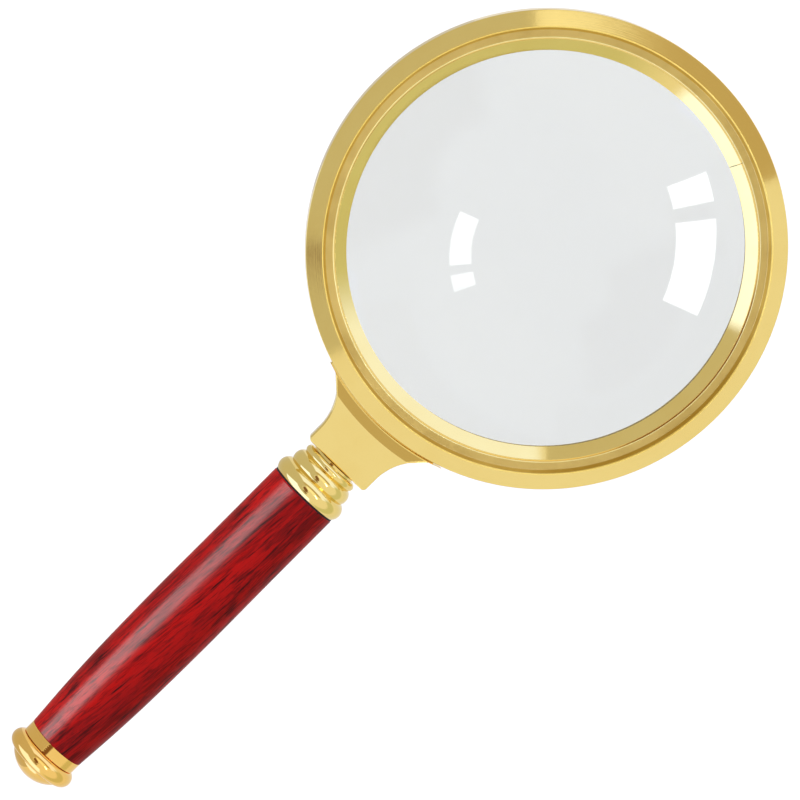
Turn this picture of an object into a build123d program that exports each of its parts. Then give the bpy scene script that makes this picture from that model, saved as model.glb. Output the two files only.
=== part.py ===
from build123d import *
import math
import os

# A hand magnifying glass: a gold plated lens ring with a cast yoke, a turned wooden grip on a
# tie rod, and screwed fittings.
#
# Millimetres. +Z is up out of the lens, +X runs from the pommel to the lens, and the origin is
# under the middle of the whole length, on the surface that the rear rim lies on.
# Two local frames are used throughout:
#   ring sections   (radius from the lens axis, height above the surface)
#   handle sections (distance from the lens axis towards the pommel, radius from the handle axis)

# ---------------------------------------------------------------- driving dimensions
OVERALL_LENGTH = 214.8
BEZEL_RADIUS = 52.5             # outside of the front bezel
AXIS_HEIGHT = 8.93              # handle axis above the surface, the radius of the widest bead
LENS_X = OVERALL_LENGTH / 2 - BEZEL_RADIUS

LENS_RADIUS = 45.0
LENS_CURVE = 230.0              # radius of curvature of both lens faces
LENS_TOP = 12.5                 # front vertex
LENS_EDGE = 2.4                 # edge thickness
LENS_SAG = LENS_CURVE - math.sqrt(LENS_CURVE**2 - LENS_RADIUS**2)
LENS_EDGE_TOP = LENS_TOP - LENS_SAG
LENS_EDGE_BOTTOM = LENS_EDGE_TOP - LENS_EDGE
LENS_BOTTOM = LENS_EDGE_BOTTOM - LENS_SAG

POCKET_RADIUS = 45.25           # bore of the frame around the lens edge
SEAT_RADIUS = 43.4              # clear opening of the rear seat
SEAT_TOP = 4.75
FLANGE_RADIUS = 51.4            # rear flange, under the bezel
FLANGE_TOP = 6.8
TUBE_RADIUS = 49.3              # threaded tube that the bezel screws onto
TUBE_TOP = 10.0
STEP_RADIUS = 47.3              # counterbore in the tube for the retaining ring's foot
STEP_BOTTOM = 8.9

THREAD_GAP = 0.05               # radial clearance of every screw thread
TURN_GAP = 0.3                  # clearance between curved faces that turn past each other
FACE_GAP = 0.05                 # clearance between flat faces that only meet

BEZEL_BOTTOM = FLANGE_TOP + FACE_GAP
BEZEL_TOP = 12.45               # crest of the sloped face
BEZEL_SHOULDER = 11.2           # where the sloped face meets the outer wall
CREST_RADIUS = 48.8
LAND_RADIUS = 48.15             # outer edge of the flat band inside the crest
LAND_TOP = 10.95
LIP_RADIUS = 46.4               # inner edge of the bezel
LIP_BOTTOM = TUBE_TOP + FACE_GAP

RETAINER_INNER = 43.5
RETAINER_LOW = 8.4              # where its cone reaches the lens
RETAINER_HIGH = 10.6
RETAINER_OUTER = 46.05
FOOT_RADIUS = 47.0
SPLIT_ANGLE = -21.25            # direction of the split, from +X
SPLIT_WIDTH = 0.35

YOKE_END = 65.4                 # from the lens axis to the end face of the yoke
YOKE_HALF_WIDTH = 8.45
YOKE_TOP = 12.4
YOKE_BOTTOM = 2 * AXIS_HEIGHT - YOKE_TOP - 1.0
YOKE_SIDE = 2.4                 # height of the upright sides, which lean in below it
YOKE_DRAFT = 20
YOKE_SWEEP = 12.8               # radius of the two curves from the yoke into the ring
YOKE_CORNER = 1.0
RECESS_RADIUS = BEZEL_RADIUS + 0.35
SLOPE_INNER = 53.35             # bottom of the slope between the ring and the yoke's flat
SLOPE_OUTER = 55.2
SLOPE_BOTTOM = 11.6

STUD_RADIUS = 2.5               # M5 screw between the yoke and the handle
STUD_ROOT = 57.0
STUD_TIP = 77.5
WASHER_THICK = 0.5
NECK_WASHER_RADIUS = 5.4

COLLAR_START = YOKE_END + WASHER_THICK + 2 * FACE_GAP
COLLAR_END = 74.9
COLLAR_BORE = STUD_RADIUS + 0.1
INSERT_START = 69.5             # flange of the threaded insert, inside the collar
INSERT_END = 83.5
INSERT_RADIUS = 4.0
INSERT_THREAD_END = 78.5
GASKET_THICK = 0.3
GRIP_START = COLLAR_END + GASKET_THICK
GRIP_END = 152.3
GRIP_FRONT_RADIUS = 8.38
GRIP_MIDDLE_RADIUS = 8.44
GRIP_END_RADIUS = 7.0
TENON_RADIUS = 5.6
TENON_END = 154.1

ROD_RADIUS = 2.0                # M4 tie rod through the grip
ROD_START = 78.9
ROD_END = 159.9
FERRULE_END = 155.0
FERRULE_RADIUS = 7.02
FERRULE_WEB = 154.2

POMMEL_START = FERRULE_END + 0.1
POMMEL_BEAD = 157.0             # widest place of the pommel
POMMEL_BEAD_RADIUS = 8.41
POMMEL_NECK = 159.15            # foot of the dome
DOME_FOOT = 6.45                # radius of the dome at its foot
POMMEL_TIP = OVERALL_LENGTH - BEZEL_RADIUS
POMMEL_NUT_END = 160.3
END_WASHER_START = FERRULE_END + 0.03
END_WASHER_END = 155.4
END_WASHER_RADIUS = 5.0
NUT_START = 155.45

# ---------------------------------------------------------------- local frames
RING_PLANE = Plane(origin=(LENS_X, 0, 0), x_dir=(1, 0, 0), z_dir=(0, -1, 0))
RING_AXIS = Axis((LENS_X, 0, 0), (0, 0, 1))
HANDLE_PLANE = Plane(origin=(LENS_X, 0, AXIS_HEIGHT), x_dir=(-1, 0, 0), z_dir=(0, 1, 0))
HANDLE_AXIS = Axis((LENS_X, 0, AXIS_HEIGHT), (-1, 0, 0))

os.makedirs("parts", exist_ok=True)


def lens_back(radius):
    """Height of the lens's rear face at a radius."""
    return LENS_BOTTOM + LENS_CURVE - math.sqrt(LENS_CURVE**2 - radius**2)


def lens_front(radius):
    """Height of the lens's front face at a radius."""
    return LENS_TOP - LENS_CURVE + math.sqrt(LENS_CURVE**2 - radius**2)


def handle_washer(start, end, outer, inner):
    """A plain ring on the handle axis."""
    with BuildPart() as washer:
        with BuildSketch(HANDLE_PLANE):
            with BuildLine():
                Polyline((start, inner), (end, inner), (end, outer), (start, outer), close=True)
            make_face()
        revolve(axis=HANDLE_AXIS)
    return washer.part


# ---------------------------------------------------------------- lens frame with its yoke
with BuildPart() as lens_frame:
    # rear ring: rounded rear rim, flange, threaded tube, lens pocket and seat
    with BuildSketch(RING_PLANE):
        with BuildLine():
            Line((SEAT_RADIUS, SEAT_TOP), (SEAT_RADIUS, 4.1))
            Line((SEAT_RADIUS, 4.1), (45.7, 0.4))
            ThreePointArc((45.7, 0.4), (45.95, 0.12), (46.3, 0))
            Line((46.3, 0), (47.2, 0))
            ThreePointArc((47.2, 0), (48.05, 0.35), (48.4, 1.2))
            Line((48.4, 1.2), (48.6, 2.9))
            ThreePointArc((48.6, 2.9), (49.1, 3.75), (50.0, 4.0))
            Line((50.0, 4.0), (50.8, 4.0))
            ThreePointArc((50.8, 4.0), (51.22, 4.18), (FLANGE_RADIUS, 4.6))
            Line((FLANGE_RADIUS, 4.6), (FLANGE_RADIUS, FLANGE_TOP))
            Line((FLANGE_RADIUS, FLANGE_TOP), (TUBE_RADIUS, FLANGE_TOP))
            Line((TUBE_RADIUS, FLANGE_TOP), (TUBE_RADIUS, TUBE_TOP))
            Line((TUBE_RADIUS, TUBE_TOP), (STEP_RADIUS, TUBE_TOP))
            Line((STEP_RADIUS, TUBE_TOP), (STEP_RADIUS, STEP_BOTTOM))
            Line((STEP_RADIUS, STEP_BOTTOM), (POCKET_RADIUS, STEP_BOTTOM))
            Line((POCKET_RADIUS, STEP_BOTTOM), (POCKET_RADIUS, SEAT_TOP))
            Line((POCKET_RADIUS, SEAT_TOP), (SEAT_RADIUS, SEAT_TOP))
        make_face()
    revolve(axis=RING_AXIS)

with BuildPart() as yoke:
    # plan outline: a straight sided tongue that sweeps out into the ring on both sides
    sweep_centre_y = YOKE_HALF_WIDTH + YOKE_SWEEP
    sweep_reach = BEZEL_RADIUS + YOKE_SWEEP
    sweep_centre_x = math.sqrt(sweep_reach**2 - sweep_centre_y**2)
    share = BEZEL_RADIUS / sweep_reach
    tangent = (sweep_centre_x * share, sweep_centre_y * share)
    middle_angle = (math.radians(270) + math.atan2(sweep_centre_y, sweep_centre_x) + math.pi) / 2
    middle = (
        sweep_centre_x + YOKE_SWEEP * math.cos(middle_angle),
        sweep_centre_y + YOKE_SWEEP * math.sin(middle_angle),
    )
    inside = tangent[0] - 4
    with BuildSketch(Plane(origin=(LENS_X, 0, YOKE_TOP), x_dir=(-1, 0, 0), z_dir=(0, 0, 1))) as plan:
        with BuildLine():
            for side in (1, -1):
                Line((YOKE_END, 0), (YOKE_END, side * YOKE_HALF_WIDTH))
                Line((YOKE_END, side * YOKE_HALF_WIDTH), (sweep_centre_x, side * YOKE_HALF_WIDTH))
                ThreePointArc(
                    (sweep_centre_x, side * YOKE_HALF_WIDTH),
                    (middle[0], side * middle[1]),
                    (tangent[0], side * tangent[1]),
                )
                Line((tangent[0], side * tangent[1]), (inside, side * tangent[1]))
            Line((inside, tangent[1]), (inside, -tangent[1]))
        make_face()
        fillet(plan.vertices().sort_by(Axis.X)[-2:], radius=YOKE_CORNER)
    extrude(amount=-YOKE_SIDE)
    underside = yoke.faces().sort_by(Axis.Z)[0]
    extrude(underside, amount=YOKE_TOP - YOKE_SIDE - YOKE_BOTTOM, taper=YOKE_DRAFT)
    # a pad keeps the end face upright behind the washer
    with Locations((LENS_X - YOKE_END, 0, YOKE_BOTTOM + 0.3)):
        Box(3, 10, 6, align=(Align.MIN, Align.CENTER, Align.MIN))
    rim = yoke.faces().sort_by(Axis.Z)[-1].edges()
    rim = rim.filter_by(lambda edge: edge.center().X < LENS_X - tangent[0] - 0.5)
    chamfer(rim, length=0.25)
    # the ring's side: room for the rear ring, a recess for the bezel, then a slope up to the flat
    with BuildSketch(RING_PLANE):
        with BuildLine():
            Polyline(
                (0, YOKE_BOTTOM - 1),
                (50.6, YOKE_BOTTOM - 1),
                (50.6, FLANGE_TOP),
                (RECESS_RADIUS, FLANGE_TOP),
                (RECESS_RADIUS, SLOPE_BOTTOM),
                (SLOPE_INNER, SLOPE_BOTTOM),
                (SLOPE_OUTER, YOKE_TOP),
                (SLOPE_OUTER + 0.9, YOKE_TOP + 1),
                (0, YOKE_TOP + 1),
                close=True,
            )
        make_face()
    revolve(axis=RING_AXIS, mode=Mode.SUBTRACT)

with lens_frame:
    add(yoke.part)
    with BuildSketch(Plane(origin=(LENS_X - YOKE_END, 0, AXIS_HEIGHT), x_dir=(0, 1, 0), z_dir=(-1, 0, 0))):
        Circle(STUD_RADIUS)
    extrude(amount=-(YOKE_END - STUD_ROOT), mode=Mode.SUBTRACT)
lens_frame.part.label = "lens_frame"
export_step(lens_frame.part, "parts/lens_frame.step")

# ---------------------------------------------------------------- front bezel, screwed on
with BuildPart() as front_bezel:
    bore = TUBE_RADIUS + THREAD_GAP
    with BuildSketch(RING_PLANE):
        with BuildLine():
            Line((bore, BEZEL_BOTTOM), (BEZEL_RADIUS - 0.35, BEZEL_BOTTOM))
            ThreePointArc(
                (BEZEL_RADIUS - 0.35, BEZEL_BOTTOM),
                (BEZEL_RADIUS - 0.1, BEZEL_BOTTOM + 0.1),
                (BEZEL_RADIUS, BEZEL_BOTTOM + 0.35),
            )
            Line((BEZEL_RADIUS, BEZEL_BOTTOM + 0.35), (BEZEL_RADIUS, BEZEL_SHOULDER - 0.45))
            ThreePointArc(
                (BEZEL_RADIUS, BEZEL_SHOULDER - 0.45),
                (BEZEL_RADIUS - 0.12, BEZEL_SHOULDER - 0.13),
                (BEZEL_RADIUS - 0.42, BEZEL_SHOULDER + 0.08),
            )
            Line((BEZEL_RADIUS - 0.42, BEZEL_SHOULDER + 0.08), (CREST_RADIUS + 0.2, BEZEL_TOP))
            ThreePointArc(
                (CREST_RADIUS + 0.2, BEZEL_TOP),
                (CREST_RADIUS + 0.03, BEZEL_TOP - 0.02),
                (CREST_RADIUS - 0.08, BEZEL_TOP - 0.16),
            )
            Line((CREST_RADIUS - 0.08, BEZEL_TOP - 0.16), (LAND_RADIUS + 0.08, LAND_TOP + 0.16))
            ThreePointArc(
                (LAND_RADIUS + 0.08, LAND_TOP + 0.16),
                (LAND_RADIUS - 0.02, LAND_TOP + 0.04),
                (LAND_RADIUS - 0.16, LAND_TOP),
            )
            Line((LAND_RADIUS - 0.16, LAND_TOP), (LIP_RADIUS + 0.2, LAND_TOP - 0.08))
            ThreePointArc(
                (LIP_RADIUS + 0.2, LAND_TOP - 0.08),
                (LIP_RADIUS + 0.06, LAND_TOP - 0.14),
                (LIP_RADIUS, LAND_TOP - 0.28),
            )
            Line((LIP_RADIUS, LAND_TOP - 0.28), (LIP_RADIUS, LIP_BOTTOM))
            Line((LIP_RADIUS, LIP_BOTTOM), (bore, LIP_BOTTOM))
            Line((bore, LIP_BOTTOM), (bore, BEZEL_BOTTOM))
        make_face()
    revolve(axis=RING_AXIS)
front_bezel.part.label = "front_bezel"
export_step(front_bezel.part, "parts/front_bezel.step")

# ---------------------------------------------------------------- split retaining ring
with BuildPart() as retaining_ring:
    foot_top = LIP_BOTTOM - FACE_GAP
    foot_bottom = STEP_BOTTOM + FACE_GAP
    with BuildSketch(RING_PLANE):
        with BuildLine():
            Polyline(
                (RETAINER_INNER, RETAINER_LOW),
                (RETAINER_OUTER, RETAINER_HIGH),
                (RETAINER_OUTER + 0.05, RETAINER_HIGH - 0.1),
                (RETAINER_OUTER + 0.05, foot_top),
                (FOOT_RADIUS, foot_top),
                (FOOT_RADIUS, foot_bottom),
                (POCKET_RADIUS - TURN_GAP, foot_bottom),
                (POCKET_RADIUS - TURN_GAP, lens_front(POCKET_RADIUS - TURN_GAP) + FACE_GAP),
                (RETAINER_INNER, lens_front(RETAINER_INNER) + 0.02),
                close=True,
            )
        make_face()
    revolve(axis=RING_AXIS)
    with Locations(Plane(origin=(LENS_X, 0, 0)).rotated((0, 0, SPLIT_ANGLE))):
        Box(
            BEZEL_RADIUS,
            SPLIT_WIDTH,
            2 * BEZEL_TOP,
            align=(Align.MIN, Align.CENTER, Align.CENTER),
            mode=Mode.SUBTRACT,
        )
retaining_ring.part.label = "retaining_ring"
export_step(retaining_ring.part, "parts/retaining_ring.step")

# ---------------------------------------------------------------- lens and its seat gasket
with BuildPart() as lens:
    edge_bevel = 0.3
    bevel_radius = LENS_RADIUS - edge_bevel
    with BuildSketch(RING_PLANE):
        with BuildLine():
            Line((0, LENS_BOTTOM), (0, LENS_TOP))
            ThreePointArc(
                (0, LENS_TOP),
                (bevel_radius / 2, lens_front(bevel_radius / 2)),
                (bevel_radius, lens_front(bevel_radius)),
            )
            Line((bevel_radius, lens_front(bevel_radius)), (LENS_RADIUS, LENS_EDGE_TOP - 0.2))
            Line((LENS_RADIUS, LENS_EDGE_TOP - 0.2), (LENS_RADIUS, LENS_EDGE_BOTTOM + 0.2))
            Line((LENS_RADIUS, LENS_EDGE_BOTTOM + 0.2), (bevel_radius, lens_back(bevel_radius)))
            ThreePointArc(
                (bevel_radius, lens_back(bevel_radius)),
                (bevel_radius / 2, lens_back(bevel_radius / 2)),
                (0, LENS_BOTTOM),
            )
        make_face()
    revolve(axis=RING_AXIS)
lens.part.label = "lens"
export_step(lens.part, "parts/lens.step")

with BuildPart() as lens_gasket:
    gasket_inner = SEAT_RADIUS + 0.25
    gasket_outer = POCKET_RADIUS - 0.1
    with BuildSketch(RING_PLANE):
        with BuildLine():
            Polyline(
                (gasket_inner, SEAT_TOP),
                (gasket_outer, SEAT_TOP),
                (gasket_outer, lens_back(bevel_radius) - 0.05),
                (bevel_radius, lens_back(bevel_radius) - 0.05),
                (gasket_inner, lens_back(gasket_inner) - 0.02),
                close=True,
            )
        make_face()
    revolve(axis=RING_AXIS)
lens_gasket.part.label = "lens_gasket"
export_step(lens_gasket.part, "parts/lens_gasket.step")

# ---------------------------------------------------------------- neck: stud and washer
with BuildPart() as neck_stud:
    with BuildSketch(HANDLE_PLANE):
        with BuildLine():
            Polyline(
                (STUD_ROOT, 0),
                (STUD_TIP, 0),
                (STUD_TIP, STUD_RADIUS - 0.5),
                (STUD_TIP - 0.5, STUD_RADIUS),
                (STUD_ROOT + 0.5, STUD_RADIUS),
                (STUD_ROOT, STUD_RADIUS - 0.5),
                close=True,
            )
        make_face()
    revolve(axis=HANDLE_AXIS)
neck_stud.part.label = "neck_stud"
export_step(neck_stud.part, "parts/neck_stud.step")

neck_washer = handle_washer(
    YOKE_END + FACE_GAP, YOKE_END + FACE_GAP + WASHER_THICK, NECK_WASHER_RADIUS, COLLAR_BORE
)
neck_washer.label = "neck_washer"
export_step(neck_washer, "parts/neck_washer.step")

# ---------------------------------------------------------------- collar: three stepped beads
with BuildPart() as collar:
    bead_ends = ((COLLAR_START, 5.75), (67.8, 6.4), (71.0, 7.35), (COLLAR_END, 8.2))
    bead_tops = ((66.8, 6.8), (69.75, 7.66), (73.2, AXIS_HEIGHT - 0.01))
    with BuildSketch(HANDLE_PLANE):
        with BuildLine():
            for top, start, end in zip(bead_tops, bead_ends[:-1], bead_ends[1:]):
                ThreePointArc(start, top, end)
            Polyline(
                bead_ends[-1],
                (COLLAR_END, INSERT_RADIUS),
                (INSERT_START, INSERT_RADIUS),
                (INSERT_START, COLLAR_BORE),
                (COLLAR_START, COLLAR_BORE),
                bead_ends[0],
            )
        make_face()
    revolve(axis=HANDLE_AXIS)
collar.part.label = "collar"
export_step(collar.part, "parts/collar.step")

collar_gasket = handle_washer(COLLAR_END, GRIP_START, GRIP_FRONT_RADIUS - 0.1, INSERT_RADIUS)
collar_gasket.label = "collar_gasket"
export_step(collar_gasket, "parts/collar_gasket.step")

# ---------------------------------------------------------------- threaded insert in the grip
with BuildPart() as handle_insert:
    insert_bore = STUD_RADIUS + THREAD_GAP
    rod_bore = ROD_RADIUS + THREAD_GAP
    with BuildSketch(HANDLE_PLANE):
        with BuildLine():
            Polyline(
                (INSERT_START, insert_bore),
                (INSERT_THREAD_END, insert_bore),
                (INSERT_THREAD_END, rod_bore),
                (INSERT_END, rod_bore),
                (INSERT_END, INSERT_RADIUS),
                (INSERT_START, INSERT_RADIUS),
                close=True,
            )
        make_face()
    revolve(axis=HANDLE_AXIS)
handle_insert.part.label = "handle_insert"
export_step(handle_insert.part, "parts/handle_insert.step")

# ---------------------------------------------------------------- wooden grip
with BuildPart() as grip:
    rod_hole = ROD_RADIUS + 0.4
    insert_pocket = INSERT_RADIUS + 0.02
    with BuildSketch(HANDLE_PLANE):
        with BuildLine():
            Line((GRIP_START, insert_pocket), (GRIP_START, GRIP_FRONT_RADIUS - 0.15))
            Line((GRIP_START, GRIP_FRONT_RADIUS - 0.15), (GRIP_START + 0.25, GRIP_FRONT_RADIUS))
            Spline(
                (GRIP_START + 0.25, GRIP_FRONT_RADIUS),
                (95.0, 8.38),
                (114.0, GRIP_MIDDLE_RADIUS),
                (131.0, 8.19),
                (142.0, 7.71),
                (GRIP_END, GRIP_END_RADIUS),
            )
            Polyline(
                (GRIP_END, GRIP_END_RADIUS),
                (GRIP_END, TENON_RADIUS),
                (TENON_END, TENON_RADIUS),
                (TENON_END, rod_hole),
                (INSERT_END + 0.1, rod_hole),
                (INSERT_END + 0.1, insert_pocket),
                (GRIP_START, insert_pocket),
            )
        make_face()
    revolve(axis=HANDLE_AXIS)
grip.part.label = "grip"
export_step(grip.part, "parts/grip.step")

# ---------------------------------------------------------------- tie rod
with BuildPart() as tie_rod:
    with BuildSketch(HANDLE_PLANE):
        with BuildLine():
            Polyline(
                (ROD_START, 0),
                (ROD_END, 0),
                (ROD_END, ROD_RADIUS - 0.4),
                (ROD_END - 0.4, ROD_RADIUS),
                (ROD_START, ROD_RADIUS),
                close=True,
            )
        make_face()
    revolve(axis=HANDLE_AXIS)
tie_rod.part.label = "tie_rod"
export_step(tie_rod.part, "parts/tie_rod.step")

# ---------------------------------------------------------------- ferrule: a plain cup
with BuildPart() as ferrule:
    ferrule_start = GRIP_END + FACE_GAP
    with BuildSketch(HANDLE_PLANE):
        with BuildLine():
            Polyline(
                (ferrule_start, FERRULE_RADIUS),
                (FERRULE_END, FERRULE_RADIUS),
                (FERRULE_END, ROD_RADIUS + 0.1),
                (FERRULE_WEB, ROD_RADIUS + 0.1),
                (FERRULE_WEB, TENON_RADIUS + 0.05),
                (ferrule_start, TENON_RADIUS + 0.05),
                close=True,
            )
        make_face()
    revolve(axis=HANDLE_AXIS)
ferrule.part.label = "ferrule"
export_step(ferrule.part, "parts/ferrule.step")

end_washer = handle_washer(END_WASHER_START, END_WASHER_END, END_WASHER_RADIUS, ROD_RADIUS + 0.1)
end_washer.label = "end_washer"
export_step(end_washer, "parts/end_washer.step")

# ---------------------------------------------------------------- pommel: a bead and a dome
with BuildPart() as pommel:
    recess = END_WASHER_RADIUS + TURN_GAP
    dome_height = POMMEL_TIP - POMMEL_NECK
    dome_radius = (DOME_FOOT**2 + dome_height**2) / (2 * dome_height)
    dome_angle = math.asin(DOME_FOOT / dome_radius) / 2
    dome_middle = (
        POMMEL_TIP - dome_radius * (1 - math.cos(dome_angle)),
        dome_radius * math.sin(dome_angle),
    )
    with BuildSketch(HANDLE_PLANE):
        with BuildLine():
            ThreePointArc(
                (POMMEL_START, 7.0), (POMMEL_BEAD, POMMEL_BEAD_RADIUS), (POMMEL_NECK, 6.75)
            )
            Line((POMMEL_NECK, 6.75), (POMMEL_NECK, DOME_FOOT))
            ThreePointArc((POMMEL_NECK, DOME_FOOT), dome_middle, (POMMEL_TIP, 0))
            Polyline(
                (POMMEL_TIP, 0),
                (POMMEL_NUT_END, 0),
                (POMMEL_NUT_END, INSERT_RADIUS),
                (NUT_START, INSERT_RADIUS),
                (NUT_START, recess),
                (POMMEL_START, recess),
                (POMMEL_START, 7.0),
            )
        make_face()
    revolve(axis=HANDLE_AXIS)
pommel.part.label = "pommel"
export_step(pommel.part, "parts/pommel.step")

pommel_nut = handle_washer(NUT_START, POMMEL_NUT_END, INSERT_RADIUS, ROD_RADIUS + THREAD_GAP)
pommel_nut.label = "pommel_nut"
export_step(pommel_nut, "parts/pommel_nut.step")
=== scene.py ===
import math

import bmesh
import bpy
from mathutils import Matrix, Vector


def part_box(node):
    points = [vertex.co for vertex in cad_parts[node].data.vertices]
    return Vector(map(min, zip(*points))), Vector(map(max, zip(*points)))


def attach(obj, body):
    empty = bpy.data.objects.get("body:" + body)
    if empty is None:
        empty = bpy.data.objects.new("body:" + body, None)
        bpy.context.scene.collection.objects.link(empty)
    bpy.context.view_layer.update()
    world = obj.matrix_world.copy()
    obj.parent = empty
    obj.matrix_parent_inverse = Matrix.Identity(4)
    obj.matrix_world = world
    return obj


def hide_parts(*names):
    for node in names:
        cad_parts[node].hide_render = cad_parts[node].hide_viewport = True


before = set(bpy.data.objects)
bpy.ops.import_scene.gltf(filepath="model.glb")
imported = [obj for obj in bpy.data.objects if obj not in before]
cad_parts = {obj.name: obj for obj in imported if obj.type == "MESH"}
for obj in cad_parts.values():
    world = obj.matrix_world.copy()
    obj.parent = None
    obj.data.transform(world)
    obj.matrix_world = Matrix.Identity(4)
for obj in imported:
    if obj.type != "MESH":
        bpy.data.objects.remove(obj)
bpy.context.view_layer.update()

# ------------------------------------------------------------------ places, from the CAD boxes
# Sizes below are millimetres and turned into metres by MM. Two local frames are used:
#   ring sections   (radius from the lens axis, height above the floor)
#   handle sections (distance from the lens axis towards the pommel, radius from the handle axis)
MM = 0.001
lens_low, lens_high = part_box("lens")
grip_low, grip_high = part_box("grip")
collar_low, collar_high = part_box("collar")
pommel_low, pommel_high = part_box("pommel")
ferrule_low, ferrule_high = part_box("ferrule")
bezel_low, bezel_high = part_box("front_bezel")
LENS_X = (lens_low[0] + lens_high[0]) / 2
AXIS_Z = (grip_low[2] + grip_high[2]) / 2
YOKE_END = (LENS_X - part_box("neck_washer")[1][0]) / MM - 0.05
COLLAR_START = (LENS_X - collar_high[0]) / MM
COLLAR_END = (LENS_X - collar_low[0]) / MM
GRIP_START = (LENS_X - grip_high[0]) / MM
FERRULE_START = (LENS_X - ferrule_high[0]) / MM
FERRULE_END = (LENS_X - ferrule_low[0]) / MM
POMMEL_START = (LENS_X - pommel_high[0]) / MM
POMMEL_TIP = (LENS_X - pommel_low[0]) / MM

BEZEL_RADIUS = (bezel_high[1] - bezel_low[1]) / 2 / MM
BEZEL_BOTTOM = bezel_low[2] / MM
BEZEL_TOP = bezel_high[2] / MM
BEZEL_SHOULDER = 11.2
CREST_RADIUS = 48.8
LAND_RADIUS = 48.15
LAND_TOP = 10.95
LIP_RADIUS = 46.4
LIP_BOTTOM = 10.05
THREAD_BORE = 49.35
TUBE_RADIUS = 49.3
TUBE_TOP = 10.0
RING_PITCH = 0.8
RING_THREAD_DEPTH = 0.35
LENS_RADIUS = 45.0
LENS_CURVE = 230.0
LENS_TOP = lens_high[2] / MM
LENS_BOTTOM = lens_low[2] / MM
YOKE_TOP = 12.4
YOKE_BOTTOM = 4.46
YOKE_HALF = 8.45
YOKE_SWEEP = 12.8
YOKE_CORNER = 1.0
YOKE_EDGE = 0.28
YOKE_SIDE = 2.4
YOKE_LEAN = math.tan(math.radians(20))
SLOPE_INNER = 53.0
SLOPE_OUTER = 55.2
SLOPE_BOTTOM = 11.45
RECESS_RADIUS = BEZEL_RADIUS + 0.35
FLANGE_RADIUS = 51.4
FLANGE_TOP = 6.8
LIP_TOP = LAND_TOP - 0.08
CREST_ROUND = 0.20
SPLIT_ANGLE = math.radians(-21.25)
SPLIT_WIDTH = 0.14
RETAINER_BORE = 43.5
RETAINER_BORE_TOP = 8.42
RETAINER_CONE = 46.05
RETAINER_CONE_TOP = 10.43
RETAINER_NECK = 46.10
RETAINER_LEDGE = 10.0
RETAINER_RADIUS = 47.0
RETAINER_BOTTOM = 8.95
RETAINER_FOOT = 44.95
REAR_BORE = 43.4
SEAT_TOP = 4.75
REAR_STEP = 4.0
STUD_RADIUS = 2.5
STUD_ROOT = 57.0
STUD_TIP = 77.5
STUD_PITCH = 0.8
STUD_PLAIN = 8.0
ROD_RADIUS = 2.0
ROD_START = 78.9
ROD_END = 159.9
ROD_PITCH = 0.7
ROD_PLAIN = 72.0
COLLAR_COUNTERBORE = 4.0
COLLAR_STEP = 69.5
COLLAR_BORE = 2.6
GRIP_COUNTERBORE = 4.02
GRIP_STEP = 83.6
GRIP_BORE = 2.4
GRIP_END = 154.1
TENON_START = 152.3
TENON_RADIUS = 5.6
FERRULE_SOCKET = 5.65
FERRULE_FLOOR = 154.2
FERRULE_BORE = 2.1
POMMEL_SOCKET = 5.3
POMMEL_SEAT = 155.45
NUT_RADIUS = 4.0
NUT_END = 160.3
RING_SEGMENTS = 384
HANDLE_SEGMENTS = 192


# ------------------------------------------------------------------ mesh helpers
def sweep_points(middle, start, end, steps):
    """Points on the shorter arc about a middle, from start to end."""
    first, last = start - middle, end - middle
    begin = math.atan2(first.y, first.x)
    turn = (math.atan2(last.y, last.x) - begin + math.pi) % (2 * math.pi) - math.pi
    angles = [begin + turn * step / steps for step in range(steps + 1)]
    return [(middle.x + first.length * math.cos(a), middle.y + first.length * math.sin(a)) for a in angles]


def rounded(corners, steps=5):
    """A polyline through (a, b, radius) corners, each corner with a radius turned into an arc."""
    points = []
    last = len(corners) - 1
    for index, (a, b, radius) in enumerate(corners):
        here = Vector((a, b))
        if radius <= 0:
            points.append((a, b))
            continue
        before = Vector(corners[index - 1][:2]) - here
        after = Vector(corners[(index + 1) % (last + 1)][:2]) - here
        room = min(before.length, after.length)
        before.normalize()
        after.normalize()
        angle = before.angle(after)
        reach = radius / math.tan(angle / 2)
        middle = (before + after).normalized() * (radius / math.sin(angle / 2)) + here
        # a point just outside each end of the arc keeps the shading of the wide faces flat
        margin = min(0.05, max(0.0, room * 0.5 - reach) * 0.5)
        arc = sweep_points(middle, here + before * reach, here + after * reach, steps)
        outer = here + before * (reach + margin)
        inner = here + after * (reach + margin)
        points += [tuple(outer)] + arc + [tuple(inner)]
    return points


def arc_through(start, top, end, steps=14):
    """Points on the circle through three points, from start to end."""
    ax, ay = start
    bx, by = top
    cx, cy = end
    twice = 2 * (ax * (by - cy) + bx * (cy - ay) + cx * (ay - by))
    ux = ((ax**2 + ay**2) * (by - cy) + (bx**2 + by**2) * (cy - ay) + (cx**2 + cy**2) * (ay - by)) / twice
    uy = ((ax**2 + ay**2) * (cx - bx) + (bx**2 + by**2) * (ax - cx) + (cx**2 + cy**2) * (bx - ax)) / twice
    return sweep_points(Vector((ux, uy)), Vector(start), Vector(end), steps)


def lens_height(radius, top=True):
    """Height of a face of the lens at a radius."""
    drop = LENS_CURVE - math.sqrt(LENS_CURVE**2 - radius**2)
    return LENS_TOP - drop if top else LENS_BOTTOM + drop


def ring_point(radius, height, angle):
    x = LENS_X + radius * MM * math.cos(angle)
    return Vector((x, radius * MM * math.sin(angle), height * MM))


def handle_point(distance, radius, angle):
    y = radius * MM * math.cos(angle)
    return Vector((LENS_X - distance * MM, y, AXIS_Z + radius * MM * math.sin(angle)))


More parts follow.
